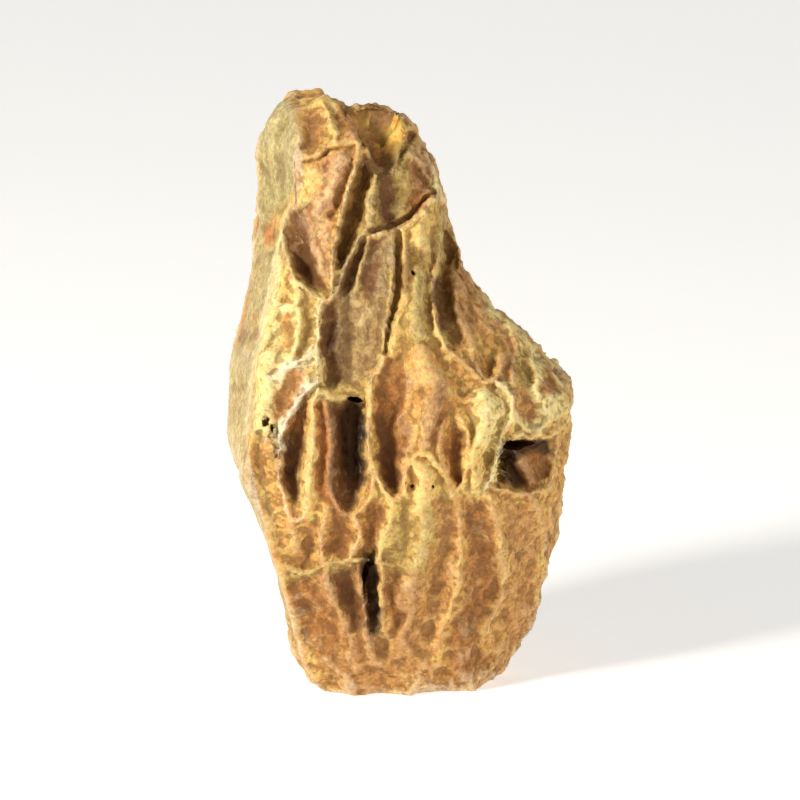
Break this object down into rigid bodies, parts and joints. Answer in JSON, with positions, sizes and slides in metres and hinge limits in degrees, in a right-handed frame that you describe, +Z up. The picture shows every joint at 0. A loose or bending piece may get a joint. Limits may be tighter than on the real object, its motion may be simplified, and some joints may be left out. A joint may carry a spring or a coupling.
{
  "type": "dragon stone",
  "caption": "Upright piece of weathered ochre clay stone, with a narrow top, a smooth left flank, and flutes, bowls and pits over the rest; it stands on a small flat foot.",
  "frame": {"origin": "on the flat foot's plane, under the middle of the stone's bounding box", "axes": "+Z up from the foot to the top; the fluted main face looks along -Y; +X to the right of that face, towards the low shoulder"},
  "size_m": [0.1458, 0.1068, 0.252],
  "materials": {
    "stone": "dry and rough; ochre and tan with paler ridges, browner hollows and an olive-grey smooth left flank"
  },
  "bodies": {
    "root": {"dragon_stone": "stone"}
  },
  "joints": []
}
